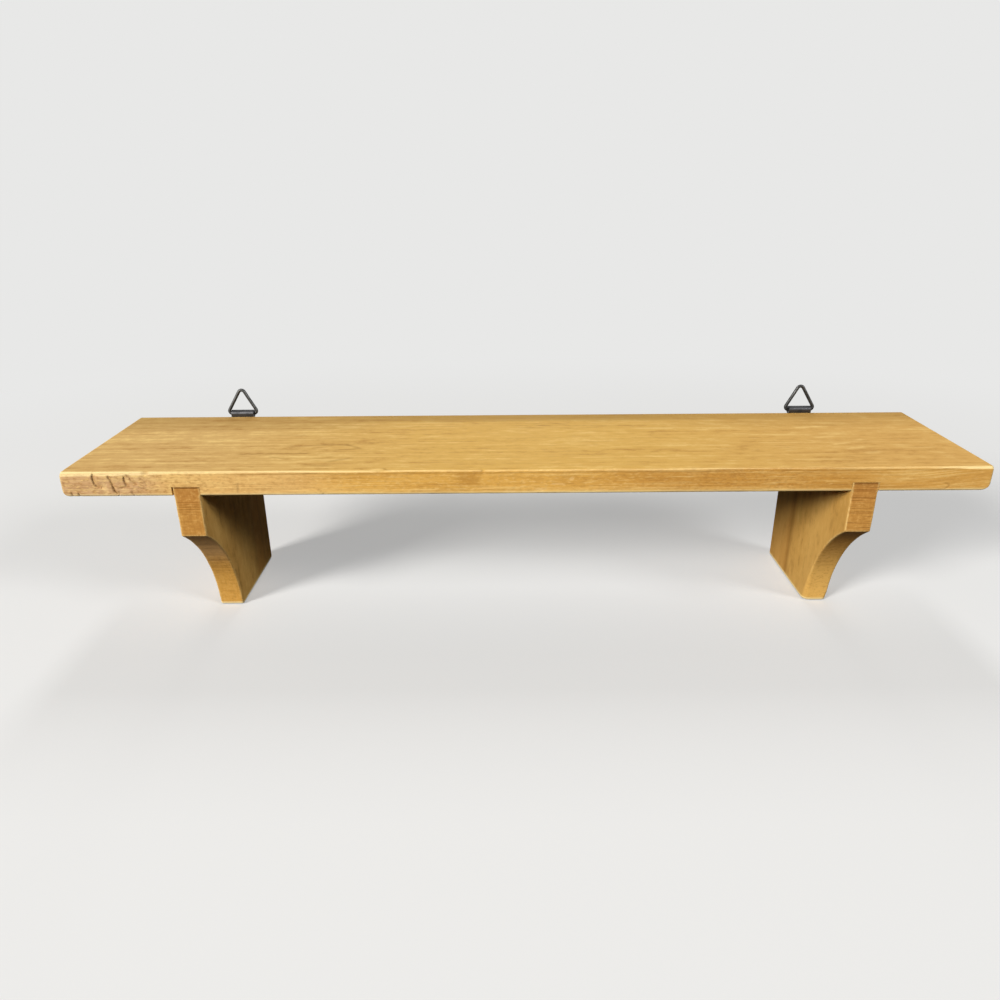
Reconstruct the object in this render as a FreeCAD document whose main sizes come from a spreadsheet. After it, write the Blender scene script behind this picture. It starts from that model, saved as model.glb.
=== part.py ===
"""A small wooden wall shelf: a board housed onto two cove-cut brackets, with triangle-ring hangers.

Millimetres. X runs along the board, Y to the back, Z up. The origin is on the surface that
the feet stand on, in the middle of the shelf's whole outline.
"""

import FreeCAD
import Part
import Sketcher
import math
import os

# The driving sizes: alias, value, and what it measures.
SIZES = [
    ("board_length", 457.0, "board, end to end"),
    ("board_depth", 95.25, "board, front to back"),
    ("board_thickness", 12.7, "board stock"),
    ("board_end_round", 3.2, "rounding of the board's ends underneath"),
    ("board_edge_round", 1.3, "rounding of the board's other edges"),
    ("shelf_height", 94.0, "surface under the feet to the board's top"),
    ("bracket_inset", 61.5, "board's end to the middle of the bracket and its hanger"),
    ("bracket_thickness", 13.0, "bracket stock"),
    ("bracket_block", 21.9, "height of the bracket's square front below the board"),
    ("foot_depth", 60.0, "bracket foot, front to back"),
    ("cove_radius", 79.0, "hollow curve between the front block and the foot"),
    ("bracket_corner_round", 1.4, "rounding of the bracket's block, toe and heel"),
    ("bracket_ease", 0.7, "easing of the bracket's long edges"),
    ("housing_depth", 4.75, "groove under the board that takes the bracket's top"),
    ("housing_clearance", 0.15, "gap on each side of the bracket in its groove"),
    ("strap_thickness", 1.0, "hanger strap sheet"),
    ("strap_width", 13.2, "hanger strap at its barrel"),
    ("strap_end_radius", 5.0, "rounded end of the strap, about its screw"),
    ("strap_layer_gap", 0.05, "between the strap's two folded layers"),
    ("strap_bend_radius", 0.4, "inside radius where the outer layer leaves the barrel"),
    ("strap_hole_clearance", 0.3, "gap round the screw in the strap"),
    ("barrel_clearance", 0.25, "running gap between the ring and its barrel"),
    ("barrel_rise", 1.3, "barrel's axis above the board's top"),
    ("ring_width", 18.0, "hanger ring, outside width"),
    ("ring_height", 15.8, "hanger ring, outside height"),
    ("ring_wire", 1.9, "hanger ring wire diameter"),
    ("ring_base_bend", 1.6, "ring's lower bends, to the middle of the wire"),
    ("ring_apex_bend", 1.9, "ring's upper bend, to the middle of the wire"),
    ("ring_butt_gap", 0.3, "between the wire's two ends, inside the barrel"),
    ("ring_lean", 8.0, "how far the ring leans back at rest, degrees"),
    ("screw_drop", 5.2, "screw's axis below the board's top"),
    ("screw_shank", 2.6, "screw shank diameter"),
    ("screw_length", 13.0, "screw, under its head"),
    ("screw_tip", 3.2, "length of the screw's point"),
    ("screw_head", 5.4, "screw head diameter"),
    ("screw_head_height", 1.7, "screw head, above the strap"),
    ("screw_slot_width", 0.8, "driver slot"),
    ("screw_slot_depth", 0.8, "driver slot"),
    ("screw_turn", 30.0, "slot's turn from level, degrees"),
    ("pilot_clearance", 0.05, "gap round the screw in its pilot hole"),
    ("pilot_end_gap", 0.5, "pilot hole beyond the screw's point"),
]

# Where the middle of each side's bracket and hanger is, along the board.
SIDES = {
    "left": "(Sizes.bracket_inset - Sizes.board_length / 2)",
    "right": "(Sizes.board_length / 2 - Sizes.bracket_inset)",
}
SCREW_TURNS = {"left": "-Sizes.screw_turn", "right": "Sizes.screw_turn"}

doc = FreeCAD.newDocument("TrinketShelf")


def make_sheet():
    """Put the driving sizes into a spreadsheet, one named cell each."""
    sheet = doc.addObject("Spreadsheet::Sheet", "Sizes")
    for row, (alias, value, note) in enumerate(SIZES, start=1):
        sheet.set(f"A{row}", alias)
        sheet.set(f"B{row}", str(value))
        sheet.set(f"C{row}", note)
        sheet.setAlias(f"B{row}", alias)
    doc.recompute()
    return sheet


sizes = make_sheet()

# Lengths that several pieces share, worked out from the sheet.
UNDERSIDE = "(Sizes.shelf_height - Sizes.board_thickness)"
BRACKET_HEIGHT = f"({UNDERSIDE} + Sizes.housing_depth)"
BARREL_BORE = "(Sizes.ring_wire / 2 + Sizes.barrel_clearance)"
BARREL_OUTSIDE = f"({BARREL_BORE} + Sizes.strap_thickness)"
BARREL_HEIGHT = "(Sizes.shelf_height + Sizes.barrel_rise)"
SCREW_BELOW_BARREL = "(Sizes.barrel_rise + Sizes.screw_drop)"
STRAP_TAIL = f"({SCREW_BELOW_BARREL} + Sizes.strap_end_radius)"
STRAP_DEPTH = "(2 * Sizes.strap_thickness + Sizes.strap_layer_gap)"
STRAP_HOLE_RADIUS = "(Sizes.screw_shank / 2 + Sizes.strap_hole_clearance)"
RING_APEX = "(Sizes.ring_height - Sizes.ring_wire)"
RING_REACH = f"({RING_APEX} * sin(Sizes.ring_lean * 1deg) + Sizes.ring_wire / 2)"
HANGER_REACH = f"({BARREL_OUTSIDE} + max({RING_REACH}; {BARREL_OUTSIDE}))"
BACK_PLANE = f"((Sizes.board_depth - {HANGER_REACH}) / 2)"


def size(expression):
    """The present value of an expression on the sheet, as a plain number."""
    return float(sizes.evalExpression(expression))


def vector(across, up):
    return FreeCAD.Vector(across, up, 0)


# How a sketch counts a curve's points up from one and its own axes down from minus one.
START, END, CENTRE = range(1, 4)
ACROSS_AXIS, UP_AXIS = range(-1, -3, -1)
ROOT = (ACROSS_AXIS, START)
SAME = 1e-9


def make_body(label):
    body = doc.addObject("PartDesign::Body", label)
    body.Label = label
    return body


def place(body, across="0", back=BACK_PLANE, up="0"):
    """Tie where a piece sits to the sheet."""
    body.setExpression("Placement.Base.x", across)
    body.setExpression("Placement.Base.y", back)
    body.setExpression("Placement.Base.z", up)


def turn(body, axis, angle):
    """Tie how a piece is turned about its own origin to the sheet."""
    body.Placement = FreeCAD.Placement(FreeCAD.Vector(), FreeCAD.Rotation(axis, 1))
    body.setExpression("Placement.Rotation.Angle", angle)


def add_sketch(body, name, plane, offset=None):
    """A sketch on one of the body's own origin planes, moved along its normal by an expression."""
    sketch = body.newObject("Sketcher::SketchObject", name)
    support = next(feature for feature in body.Origin.OriginFeatures if feature.Role == plane)
    sketch.AttachmentSupport = [(support, "")]
    sketch.MapMode = "FlatFace"
    if offset:
        sketch.setExpression("AttachmentOffset.Base.z", offset)
    return sketch


def constrain(sketch, kind, *references):
    return sketch.addConstraint(Sketcher.Constraint(kind, *references))


def dimension(sketch, kind, references, expression):
    """A driving dimension of a sketch, tied to the sheet."""
    index = constrain(sketch, kind, *references, size(expression))
    sketch.setExpression(f"Constraints[{index}]", expression)


def locate(sketch, point, across=None, up=None):
    """Tie a point's distances from the sketch's root to expressions, which may be negative."""
    for kind, axis, expression in (("DistanceX", UP_AXIS, across), ("DistanceY", ACROSS_AXIS, up)):
        if expression is None:
            continue
        if abs(size(expression)) < SAME:
            constrain(sketch, "PointOnObject", *point, axis)
        elif size(expression) > 0:
            dimension(sketch, kind, ROOT + point, expression)
        else:
            dimension(sketch, kind, point + ROOT, f"-({expression})")


class Outline:
    """A run of lines and arcs in a sketch, each joined to the one before."""

    def __init__(self, sketch):
        self.sketch = sketch
        self.pieces = []

    def line(self, start, end, smooth=False):
        index = self.sketch.addGeometry(Part.LineSegment(vector(*start), vector(*end)), False)
        if abs(start[0] - end[0]) < SAME:
            constrain(self.sketch, "Vertical", index)
        elif abs(start[1] - end[1]) < SAME:
            constrain(self.sketch, "Horizontal", index)
        return self.join(index, START, END, smooth)

    def arc(self, centre, radius, first, last, smooth=False):
        """An arc from one angle to another, in degrees: counterclockwise where last is larger."""
        low, high = sorted((math.radians(first), math.radians(last)))
        whole = Part.Circle(vector(*centre), FreeCAD.Vector(0, 0, 1), radius)
        index = self.sketch.addGeometry(Part.ArcOfCircle(whole, low, high), False)
        ends = (START, END) if last > first else (END, START)
        return self.join(index, *ends, smooth)

    def join(self, index, start, end, smooth):
        if self.pieces:
            kind = "Tangent" if smooth else "Coincident"
            constrain(self.sketch, kind, *self.last(), index, start)
        self.pieces.append((index, start, end))
        return index

    def last(self):
        index, _, end = self.pieces[-1]
        return index, end

    def close(self):
        index, start, _ = self.pieces[0]
        constrain(self.sketch, "Coincident", *self.last(), index, start)


def rectangle(sketch, left, bottom, right, top):
    """A rectangle whose four sides stand at the given expressions."""
    low = (size(left), size(bottom))
    high = (size(right), size(top))
    outline = Outline(sketch)
    first = outline.line(low, (high[0], low[1]))
    outline.line((high[0], low[1]), high)
    third = outline.line(high, (low[0], high[1]))
    outline.line((low[0], high[1]), low)
    outline.close()
    locate(sketch, (first, START), left, bottom)
    locate(sketch, (third, START), right, top)


def circle(sketch, radius, across="0", up="0"):
    """A circle of a given radius about a given point."""
    centre = vector(size(across), size(up))
    index = sketch.addGeometry(Part.Circle(centre, FreeCAD.Vector(0, 0, 1), size(radius)), False)
    locate(sketch, (index, CENTRE), across, up)
    dimension(sketch, "Radius", (index,), radius)


def pad_both_ways(body, sketch, name, thickness):
    """A pad of a given thickness, half on each side of its sketch."""
    pad = body.newObject("PartDesign::Pad", name)
    pad.Profile = sketch
    pad.SideType = "Symmetric"
    pad.setExpression("Length", thickness)
    return pad


def cut_through(body, sketch, name):
    """A pocket right through the body, on both sides of its sketch."""
    pocket = body.newObject("PartDesign::Pocket", name)
    pocket.Profile = sketch
    pocket.SideType = "Symmetric"
    pocket.Type = "ThroughAll"
    return pocket


def sweep(body, profile, path, name):
    pipe = body.newObject("PartDesign::AdditivePipe", name)
    pipe.Profile = profile
    pipe.Spine = path
    return pipe


def round_edges(body, base, name, radius, wanted):
    """Round the edges of a feature that pass a test."""
    doc.recompute()
    edges = enumerate(base.Shape.Edges, start=1)
    names = [f"Edge{number}" for number, edge in edges if wanted(edge)]
    fillet = body.newObject("PartDesign::Fillet", name)
    fillet.Base = (base, names)
    fillet.setExpression("Radius", radius)
    return fillet


def make_board():
    """The top board, with a housing underneath for each bracket and a pilot hole for each screw."""
    body = make_body("shelf_board")
    sketch = add_sketch(body, "BoardOutline", "XY_Plane")
    rectangle(sketch, "-Sizes.board_length / 2", "-Sizes.board_depth", "Sizes.board_length / 2", "0")
    pad = body.newObject("PartDesign::Pad", "BoardStock")
    pad.Profile = sketch
    pad.setExpression("Length", "Sizes.board_thickness")
    top = size("Sizes.board_thickness")

    def is_end_underneath(edge):
        return edge.BoundBox.XLength < SAME and edge.BoundBox.ZMax < SAME

    def is_other_edge(edge):
        return edge.BoundBox.YLength < SAME or edge.BoundBox.ZMin > top - SAME

    ends = round_edges(body, pad, "BoardEnds", "Sizes.board_end_round", is_end_underneath)
    round_edges(body, ends, "BoardEdges", "Sizes.board_edge_round", is_other_edge)

    housings = add_sketch(body, "HousingOutlines", "XZ_Plane")
    half_width = "(Sizes.bracket_thickness / 2 + Sizes.housing_clearance)"
    for middle in SIDES.values():
        rectangle(housings, f"{middle} - {half_width}", "0",
                  f"{middle} + {half_width}", "Sizes.housing_depth")
    cut_through(body, housings, "Housings")

    pilots = add_sketch(body, "PilotCentres", "XZ_Plane")
    for middle in SIDES.values():
        circle(pilots, "Sizes.screw_shank / 2 + Sizes.pilot_clearance",
               middle, "Sizes.board_thickness - Sizes.screw_drop")
    drill = body.newObject("PartDesign::Pocket", "PilotHoles")
    drill.Profile = pilots
    drill.Reversed = True
    drill.setExpression("Length", f"Sizes.screw_length - {STRAP_DEPTH} + Sizes.pilot_end_gap")
    place(body, up=UNDERSIDE)
    return body


def make_bracket(side_name):
    """A bracket: its top stands in the board's housing, and a cove runs from its front block to its foot."""
    body = make_body(f"{side_name}_bracket")
    sketch = add_sketch(body, "BracketOutline", "YZ_Plane")
    top = size(BRACKET_HEIGHT)
    front = -size("Sizes.board_depth")
    block_bottom = size(f"{UNDERSIDE} - Sizes.bracket_block")
    toe = -size("Sizes.foot_depth")
    radius = size("Sizes.cove_radius")
    along, drop = toe - front, -block_bottom
    chord = math.hypot(along, drop)
    hollow = math.sqrt(radius ** 2 - (chord / 2) ** 2) / chord
    centre = ((front + toe) / 2 + drop * hollow, block_bottom / 2 - along * hollow)
    first = math.degrees(math.atan2(block_bottom - centre[1], front - centre[0]))
    last = math.degrees(math.atan2(-centre[1], toe - centre[0]))

    outline = Outline(sketch)
    back = outline.line((0, 0), (0, top))
    outline.line((0, top), (front, top))
    face = outline.line((front, top), (front, block_bottom))
    cove = outline.arc(centre, radius, first, last)
    foot = outline.line((toe, 0), (0, 0))
    outline.close()
    constrain(sketch, "Coincident", back, START, *ROOT)
    locate(sketch, (face, START), "-Sizes.board_depth", BRACKET_HEIGHT)
    locate(sketch, (face, END), up=f"{UNDERSIDE} - Sizes.bracket_block")
    locate(sketch, (foot, START), "-Sizes.foot_depth")
    dimension(sketch, "Radius", (cove,), "Sizes.cove_radius")
    pad = pad_both_ways(body, sketch, "BracketStock", "Sizes.bracket_thickness")

    def is_low_corner(edge):
        return edge.BoundBox.XLength > SAME and edge.BoundBox.ZMax < top - SAME

    def is_long_edge(edge):
        return edge.BoundBox.XLength < SAME and edge.BoundBox.ZMin < top - SAME

    corners = round_edges(body, pad, "BracketCorners", "Sizes.bracket_corner_round", is_low_corner)
    round_edges(body, corners, "BracketEdges", "Sizes.bracket_ease", is_long_edge)
    place(body, SIDES[side_name])
    return body


def draw_strap_fold(sketch):
    """The middle line of the strap's sheet: up the wood, round the barrel and down over itself."""
    half_sheet = size("Sizes.strap_thickness / 2")
    tail = -size(STRAP_TAIL)
    barrel = size(f"{BARREL_BORE} + Sizes.strap_thickness / 2")
    bend = size("Sizes.strap_bend_radius + Sizes.strap_thickness / 2")
    outer_layer = size(f"{STRAP_DEPTH} - Sizes.strap_thickness / 2")
    barrel_centre = (half_sheet + barrel, 0)
    bend_across = outer_layer + bend - barrel_centre[0]
    bend_centre = (outer_layer + bend, -math.sqrt((barrel + bend) ** 2 - bend_across ** 2))
    leaving = math.degrees(math.atan2(bend_centre[1], bend_across))

    outline = Outline(sketch)
    inner = outline.line((half_sheet, tail), (half_sheet, 0))
    loop = outline.arc(barrel_centre, barrel, 180, leaving, smooth=True)
    reverse = outline.arc(bend_centre, bend, leaving + 180, 180, smooth=True)
    outer = outline.line((outer_layer, bend_centre[1]), (outer_layer, tail), smooth=True)
    locate(sketch, (inner, START), "Sizes.strap_thickness / 2", f"-{STRAP_TAIL}")
    locate(sketch, (loop, CENTRE), up="0")
    dimension(sketch, "Radius", (loop,), f"{BARREL_BORE} + Sizes.strap_thickness / 2")
    dimension(sketch, "Radius", (reverse,), "Sizes.strap_bend_radius + Sizes.strap_thickness / 2")
    locate(sketch, (outer, END), f"{STRAP_DEPTH} - Sizes.strap_thickness / 2", f"-{STRAP_TAIL}")


def draw_strap_waste(sketch):
    """What is cut from the folded strip: the corners round its tapered end, and the screw hole."""
    half_width = size("Sizes.strap_width / 2")
    shoulder = -size(BARREL_OUTSIDE)
    end_radius = size("Sizes.strap_end_radius")
    screw = -size(SCREW_BELOW_BARREL)
    outside = size("Sizes.strap_width")
    below = -size(f"{STRAP_TAIL} + Sizes.strap_width")
    rise = shoulder - screw
    reach = math.hypot(half_width, rise)
    tangent = math.atan2(rise, half_width) - math.acos(end_radius / reach)
    touch = (end_radius * math.cos(tangent), screw + end_radius * math.sin(tangent))
    angle = math.degrees(tangent)

    outline = Outline(sketch)
    left = outline.line((-half_width, shoulder), (-touch[0], touch[1]))
    end = outline.arc((0, screw), end_radius, 180 - angle, 360 + angle, smooth=True)
    right = outline.line(touch, (half_width, shoulder), smooth=True)
    outline.line((half_width, shoulder), (outside, shoulder))
    outline.line((outside, shoulder), (outside, below))
    floor = outline.line((outside, below), (-outside, below))
    outline.line((-outside, below), (-outside, shoulder))
    outline.line((-outside, shoulder), (-half_width, shoulder))
    outline.close()
    locate(sketch, (left, START), "-Sizes.strap_width / 2", f"-{BARREL_OUTSIDE}")
    locate(sketch, (right, END), "Sizes.strap_width / 2", f"-{BARREL_OUTSIDE}")
    locate(sketch, (end, CENTRE), "0", f"-{SCREW_BELOW_BARREL}")
    dimension(sketch, "Radius", (end,), "Sizes.strap_end_radius")
    locate(sketch, (floor, START), "Sizes.strap_width", f"-({STRAP_TAIL} + Sizes.strap_width)")
    locate(sketch, (floor, END), "-Sizes.strap_width")
    circle(sketch, STRAP_HOLE_RADIUS, up=f"-{SCREW_BELOW_BARREL}")


def make_strap(side_name):
    """A strip of sheet folded over into a barrel for the ring, with both layers held by one screw."""
    body = make_body(f"{side_name}_hanger_strap")
    path = add_sketch(body, "StrapFold", "YZ_Plane")
    draw_strap_fold(path)
    profile = add_sketch(body, "StrapSection", "XY_Plane", f"-{STRAP_TAIL}")
    rectangle(profile, "-Sizes.strap_width / 2", "0", "Sizes.strap_width / 2", "Sizes.strap_thickness")
    sweep(body, profile, path, "StrapStrip")
    waste = add_sketch(body, "StrapWaste", "XZ_Plane")
    draw_strap_waste(waste)
    cut_through(body, waste, "StrapEnd")
    place(body, SIDES[side_name], up=BARREL_HEIGHT)
    return body


def draw_ring_wire(sketch):
    """The middle line of the ring's wire: a triangle with bent corners, open at the middle of its base."""
    butt = size("Sizes.ring_butt_gap / 2")
    base_bend = size("Sizes.ring_base_bend")
    apex_bend = size("Sizes.ring_apex_bend")
    corner = size("(Sizes.ring_width - Sizes.ring_wire) / 2 - Sizes.ring_base_bend")
    apex = size(f"{RING_APEX} - Sizes.ring_apex_bend")
    slope = math.atan2(apex - base_bend, -corner)
    facing = slope - math.acos((base_bend - apex_bend) / math.hypot(corner, apex - base_bend))
    normal = (math.cos(facing), math.sin(facing))
    foot = (corner + base_bend * normal[0], base_bend + base_bend * normal[1])
    head = (apex_bend * normal[0], apex + apex_bend * normal[1])
    angle = math.degrees(facing)

    outline = Outline(sketch)
    first = outline.line((butt, 0), (corner, 0))
    right = outline.arc((corner, base_bend), base_bend, -90, angle, smooth=True)
    outline.line(foot, head, smooth=True)
    top = outline.arc((0, apex), apex_bend, angle, 180 - angle, smooth=True)
    outline.line((-head[0], head[1]), (-foot[0], foot[1]), smooth=True)
    left = outline.arc((-corner, base_bend), base_bend, 180 - angle, 270, smooth=True)
    last = outline.line((-corner, 0), (-butt, 0), smooth=True)
    corner_place = "(Sizes.ring_width - Sizes.ring_wire) / 2 - Sizes.ring_base_bend"
    locate(sketch, (first, START), "Sizes.ring_butt_gap / 2", "0")
    locate(sketch, (right, CENTRE), corner_place)
    dimension(sketch, "Radius", (right,), "Sizes.ring_base_bend")
    locate(sketch, (top, CENTRE), "0", f"{RING_APEX} - Sizes.ring_apex_bend")
    dimension(sketch, "Radius", (top,), "Sizes.ring_apex_bend")
    locate(sketch, (left, CENTRE), f"-({corner_place})")
    dimension(sketch, "Radius", (left,), "Sizes.ring_base_bend")
    locate(sketch, (last, END), "-Sizes.ring_butt_gap / 2", "0")


def make_ring(side_name):
    """The hanger's ring: wire bent to a triangle, whose base turns in the strap's barrel."""
    body = make_body(f"{side_name}_hanger_ring")
    path = add_sketch(body, "RingLine", "XZ_Plane")
    draw_ring_wire(path)
    profile = add_sketch(body, "RingSection", "YZ_Plane", "Sizes.ring_butt_gap / 2")
    circle(profile, "Sizes.ring_wire / 2")
    sweep(body, profile, path, "RingWire")
    turn(body, FreeCAD.Vector(1, 0, 0), "-Sizes.ring_lean")
    place(body, SIDES[side_name], f"{BACK_PLANE} + {BARREL_OUTSIDE}", BARREL_HEIGHT)
    return body


def draw_screw_half(sketch):
    """Half of the screw's section: domed head, shank and point, with its axis on the sketch's upright."""
    head = size("Sizes.screw_head / 2")
    dome = size("Sizes.screw_head_height")
    shank = size("Sizes.screw_shank / 2")
    point = -size("Sizes.screw_length")
    taper = -size("Sizes.screw_length - Sizes.screw_tip")
    radius = (head ** 2 + dome ** 2) / (2 * dome)
    rim = math.degrees(math.atan2(radius - dome, head))

    outline = Outline(sketch)
    cap = outline.arc((0, dome - radius), radius, 90, rim)
    seat = outline.line((head, 0), (shank, 0))
    side = outline.line((shank, 0), (shank, taper))
    tip = outline.line((shank, taper), (0, point))
    outline.line((0, point), (0, dome))
    outline.close()
    locate(sketch, (cap, CENTRE), "0")
    locate(sketch, (cap, END), up="Sizes.screw_head_height")
    locate(sketch, (seat, START), "Sizes.screw_head / 2", "0")
    locate(sketch, (side, START), "Sizes.screw_shank / 2")
    locate(sketch, (tip, START), up="-(Sizes.screw_length - Sizes.screw_tip)")
    locate(sketch, (tip, END), "0", "-Sizes.screw_length")


def make_screw(side_name):
    """The slotted round-head screw that holds a strap, driven into the board's back edge."""
    body = make_body(f"{side_name}_hanger_screw")
    half = add_sketch(body, "ScrewHalf", "XY_Plane")
    draw_screw_half(half)
    revolution = body.newObject("PartDesign::Revolution", "ScrewBlank")
    revolution.Profile = half
    revolution.ReferenceAxis = (half, ["V_Axis"])
    slot = add_sketch(body, "SlotOutline", "XZ_Plane", "Sizes.screw_slot_depth - Sizes.screw_head_height")
    rectangle(slot, "-Sizes.screw_head", "-Sizes.screw_slot_width / 2",
              "Sizes.screw_head", "Sizes.screw_slot_width / 2")
    cut = body.newObject("PartDesign::Pocket", "Slot")
    cut.Profile = slot
    cut.Type = "ThroughAll"
    turn(body, FreeCAD.Vector(0, 1, 0), SCREW_TURNS[side_name])
    place(body, SIDES[side_name], f"{BACK_PLANE} + {STRAP_DEPTH}", "Sizes.shelf_height - Sizes.screw_drop")
    return body


def check_document(bodies):
    """Stop if any object failed, or any piece isn't one valid solid."""
    for item in doc.Objects:
        if "Invalid" in item.State or "Error" in item.State:
            raise RuntimeError(f"{item.Label} failed: {item.State}")
        if item.isDerivedFrom("Sketcher::SketchObject") and not item.FullyConstrained:
            raise RuntimeError(f"{item.Label} isn't fully constrained")
    for body in bodies:
        if body.Shape.isNull() or not body.Shape.isValid() or len(body.Shape.Solids) != 1:
            raise RuntimeError(f"{body.Label} isn't one valid solid")


def write_parts(bodies):
    os.makedirs("parts", exist_ok=True)
    for body in bodies:
        body.Shape.exportStep(f"parts/{body.Label}.step")
        print(f"{body.Label}: {body.Shape.Volume:.2f} cubic mm")


def main():
    pieces = [make_board()]
    for side_name in SIDES:
        pieces.append(make_bracket(side_name))
        pieces.append(make_strap(side_name))
        pieces.append(make_ring(side_name))
        pieces.append(make_screw(side_name))
    doc.recompute()
    check_document(pieces)
    write_parts(pieces)


main()
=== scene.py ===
"""The looks of a small wooden wall shelf: a worn honey-stained board on two cove-cut brackets.

The wooden pieces are built here as dense meshes round the fixed model. The hangers keep its own
shapes and only get their steel. Sizes are in millimetres until a mesh is made, and the floor,
lights and camera are placed in metres.
"""

import math
import bmesh
import bpy
import numpy as np
from mathutils import Matrix, Vector


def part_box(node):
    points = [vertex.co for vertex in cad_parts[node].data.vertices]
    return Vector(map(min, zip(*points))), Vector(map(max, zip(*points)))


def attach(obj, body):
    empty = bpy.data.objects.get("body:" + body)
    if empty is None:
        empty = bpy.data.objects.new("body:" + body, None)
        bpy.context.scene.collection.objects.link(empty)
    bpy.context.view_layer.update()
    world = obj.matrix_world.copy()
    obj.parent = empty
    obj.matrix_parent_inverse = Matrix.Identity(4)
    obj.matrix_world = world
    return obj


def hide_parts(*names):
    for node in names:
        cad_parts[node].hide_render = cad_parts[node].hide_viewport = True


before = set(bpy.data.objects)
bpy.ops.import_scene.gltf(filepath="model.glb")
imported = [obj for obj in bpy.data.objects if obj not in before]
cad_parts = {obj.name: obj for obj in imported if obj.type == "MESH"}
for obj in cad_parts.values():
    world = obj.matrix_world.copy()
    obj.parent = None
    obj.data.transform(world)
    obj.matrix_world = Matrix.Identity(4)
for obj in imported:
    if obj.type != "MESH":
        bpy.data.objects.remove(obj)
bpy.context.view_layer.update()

MM = 0.001
SIDES = ("left", "right")


def box_mm(node):
    """A node's lowest and highest corners, in millimetres."""
    low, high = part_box(node)
    return np.array(low) / MM, np.array(high) / MM


BOARD_LOW, BOARD_HIGH = box_mm("shelf_board")
BRACKETS = {side: box_mm(f"{side}_bracket") for side in SIDES}
FRONT, BACK = BOARD_LOW[1], BOARD_HIGH[1]
UNDERSIDE, TOP = BOARD_LOW[2], BOARD_HIGH[2]
HALF_LENGTH = BOARD_HIGH[0]

# The brackets reach up to the ceiling of their grooves in the board.
CEILING = BRACKETS["left"][1][2]


# Small numeric helpers.

KNOT_COUNT = 2048
TINY = 1e-6


def ease(start, end, value):
    """A smooth step from 0 at start to 1 at end."""
    share = np.clip((value - start) / (end - start), 0.0, 1.0)
    return share * share * (3.0 - 2.0 * share)


def hump(value, middle, width):
    """A smooth bell, 1 at its middle."""
    return np.exp(-((value - middle) / width) ** 2)


def wander(value, spacing, seed):
    """Smooth noise along a line, from -1 to 1."""
    knots = np.random.default_rng(seed).uniform(-1.0, 1.0, KNOT_COUNT)
    place = np.asarray(value, float) / spacing + KNOT_COUNT / 2
    cell = np.floor(place).astype(int)
    share = ease(0.0, 1.0, place - cell)
    return knots[cell] * (1.0 - share) + knots[cell + 1] * share


def runs(start, *parts):
    """Places along a line from a start, through runs of (end, spacing)."""
    pieces = []
    for end, spacing in parts:
        count = max(1, round(abs(end - start) / spacing))
        pieces.append(np.linspace(start, end, count, endpoint=False))
        start = end
    return np.concatenate(pieces + [np.array([start])])


def even(count):
    """Shares from 0 to 1 in even steps."""
    return np.linspace(0, 1, count + 1)


def left_to_right(side, outer, inner):
    """A bracket's outer and inner values, in their order along the board."""
    return (outer, inner) if side == "left" else (inner, outer)


def corner_inset(depth, radius):
    """How far a rounded edge has drawn in, at a depth below the face that it rounds off."""
    inside = np.clip(radius - depth, 0.0, radius)
    return radius - np.sqrt(np.maximum(radius ** 2 - inside ** 2, 0.0))


def path_distance(across, down, path):
    """Distance from a path to each point, with its sign positive on the path's right-hand side."""
    best = np.full(across.shape, np.inf)
    signed = np.zeros(across.shape)
    for (x0, d0), (x1, d1) in zip(path[:-1], path[1:]):
        run_x, run_d = x1 - x0, d1 - d0
        length = run_x ** 2 + run_d ** 2
        share = np.clip(((across - x0) * run_x + (down - d0) * run_d) / length, 0.0, 1.0)
        off_x, off_d = across - x0 - share * run_x, down - d0 - share * run_d
        distance = np.hypot(off_x, off_d)
        side = np.where(off_x * run_d - off_d * run_x >= 0.0, 1.0, -1.0)
        nearer = distance < best
        best = np.where(nearer, distance, best)
        signed = np.where(nearer, distance * side, signed)
    return signed


# Outlines: each part is a row of points with the normals at them.


def arc(centre, radius, first, last, count):
    """Points and outward normals along an arc, angles in degrees."""
    angles = np.radians(np.linspace(first, last, count + 1))
    normals = np.column_stack([np.cos(angles), np.sin(angles)])
    return np.array(centre) + radius * normals, normals


def side_line(start, end, shares, normal):
    """Points between two corners at given shares, leaving out the ends, and their normals."""
    inner = np.asarray(shares)[1:-1, None]
    points = np.array(start) * (1.0 - inner) + np.array(end) * inner
    return points, np.tile(normal, (len(points), 1))


def one_point(point, normal):
    return np.array([point]), np.array([normal])


def join(parts):
    points = np.concatenate([points for points, _ in parts])
    normals = np.concatenate([normals for _, normals in parts])
    return points, normals


# Meshes.

# Points nearer than this are welded, and edges shorter than a sliver dropped, in metres.
WELD = 2e-7
SLIVER = 1e-8
SHARP_ANGLE = math.radians(38.0)


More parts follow.
